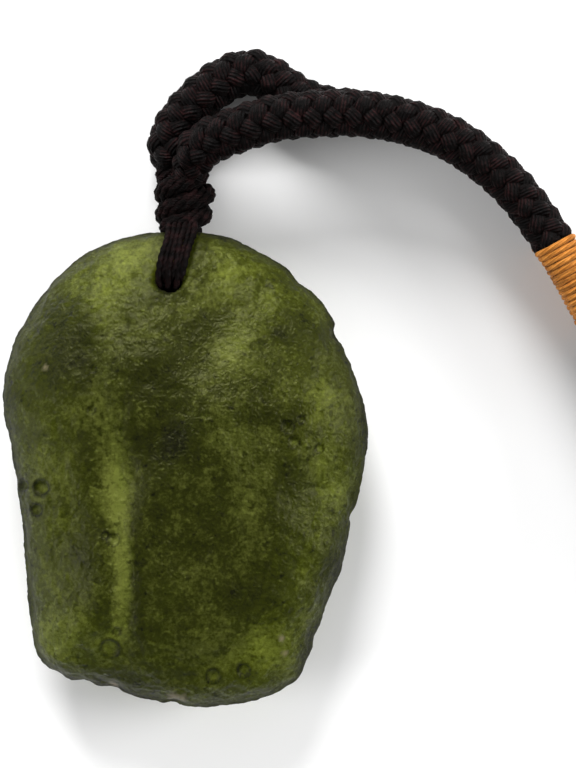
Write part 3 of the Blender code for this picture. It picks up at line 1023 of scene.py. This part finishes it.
def button_lines():
    """Three sets of rings that cross each other, each a little further out than the last."""
    middle = Vector((COIL_CENTRE[0] + BUTTON_CENTRE[0], COIL_CENTRE[1] + BUTTON_CENTRE[1],
                     BUTTON_RADIUS + 0.1))
    lines = []
    for level, axis in enumerate(("X", "Y", "Z")):
        lean = Matrix.Rotation(radians(12.0 + 9.0 * level), 3, "Z")
        for offset in (-1.35, -0.45, 0.45, 1.35):
            reach = BUTTON_RADIUS - BUTTON_THREAD - 0.16 * (2 - level)
            radius = sqrt(reach * reach - offset * offset)
            points = []
            for step in range(40):
                angle = 2 * pi * step / 40
                flat = (offset, radius * cos(angle), radius * sin(angle))
                turned = {"X": flat, "Y": (flat[2], flat[0], flat[1]), "Z": (flat[1], flat[2], flat[0])}
                points.append(middle + lean @ Vector(turned[axis]))
            lines.append((points, True))
    return lines


def eye_lines():
    """The eye's threads, twisted round each other twice on their way round."""
    lines = []
    for index in range(EYE_STRANDS):
        points = []
        for step in range(64):
            angle = 2 * pi * step / 64
            weave = 2 * pi * index / EYE_STRANDS + 2 * angle
            outward = EYE_SPREAD * cos(weave)
            points.append((
                COIL_CENTRE[0] + EYE_CENTRE[0] + (EYE_HALF_LENGTH + outward) * cos(angle),
                COIL_CENTRE[1] + EYE_CENTRE[1] + (EYE_HALF_WIDTH + outward) * sin(angle),
                EYE_HEIGHT + EYE_SPREAD * sin(weave),
            ))
        lines.append((points, True))
    return lines


button = threads("button_knot_threads", button_lines(), BUTTON_THREAD, dark_thread)
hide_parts("button_knot")
eye = threads("eye_threads", eye_lines(), EYE_THREAD, dark_thread)
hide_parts("end_loop")
left_end = [(COIL_CENTRE[0] + x, COIL_CENTRE[1] + y, z) for x, y, z in LEFT_END_ROUTE[-3:]]
eye_binding = wound_thread(
    "eye_binding", stretch_of(left_end, 4.6, 7.4), BINDING_RADIUS, 2 * BINDING_THREAD,
    BINDING_THREAD, 0.0, dark_thread,
)
for piece in (button, eye, eye_binding):
    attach(piece, "root")

# The surface that the pendant lies on, and the soft light of a white studio tent: three soft
# lamps round it, each with its place in metres and its power, and a little light from everywhere.
PALE = (0.82, 0.82, 0.82)
FLOOR_SIZE = 3.0
LAMP_SIZE = 0.42
LAMPS = (
    ("window", (-0.15, 0.8, 0.5), 12.5), ("right_wall", (0.8, 0.15, 0.4), 7.5),
    ("left_wall", (-0.75, -0.1, 0.4), 3.8),
)
TENT_LIGHT = 0.45


def pale_floor():
    """A wide sheet of paper, just below the part."""
    bpy.ops.mesh.primitive_plane_add(size=FLOOR_SIZE, location=(0.0, 0.0, -0.2 * MM))
    floor = bpy.context.object
    floor.name = "floor"
    material, _, shader = new_material("pale_paper")
    fill_inputs(material.node_tree, shader, {"Base Color": (*PALE, 1.0), "Roughness": 0.9})
    floor.data.materials.append(material)


def soft_lamp(name, place, power):
    """A round lamp that faces the middle of the table."""
    lamp = bpy.data.lights.new(name, "AREA")
    lamp.shape = "DISK"
    lamp.size = LAMP_SIZE
    lamp.energy = power
    holder = bpy.data.objects.new(name, lamp)
    holder.location = place
    holder.rotation_euler = (-Vector(place)).to_track_quat("-Z", "Y").to_euler()
    bpy.context.scene.collection.objects.link(holder)


pale_floor()
for name, place, power in LAMPS:
    soft_lamp(name, place, power)
world = bpy.data.worlds.new("tent")
world.use_nodes = True
tent = world.node_tree.nodes["Background"]
fill_inputs(world.node_tree, tent, {"Color": (1.0, 1.0, 1.0, 1.0), "Strength": TENT_LIGHT})
bpy.context.scene.world = world
bpy.context.scene.view_settings.view_transform = "Standard"

# The camera looks straight down, as the photograph looks straight at the stone's face. Its height
# and its middle give 14 pixels to a millimetre at the stone's half thickness.
FRAME_MIDDLE = (7.32 * MM, 6.07 * MM)
CAMERA_HEIGHT = 134.0 * MM
FOCAL_LENGTH = 85.0
SENSOR_WIDTH = 36.0

lens = bpy.data.cameras.new("camera")
lens.lens = FOCAL_LENGTH
lens.sensor_width = SENSOR_WIDTH
lens.clip_start = 5 * MM
camera = bpy.data.objects.new("camera", lens)
camera.location = (*FRAME_MIDDLE, CAMERA_HEIGHT)
bpy.context.scene.collection.objects.link(camera)
bpy.context.scene.camera = camera
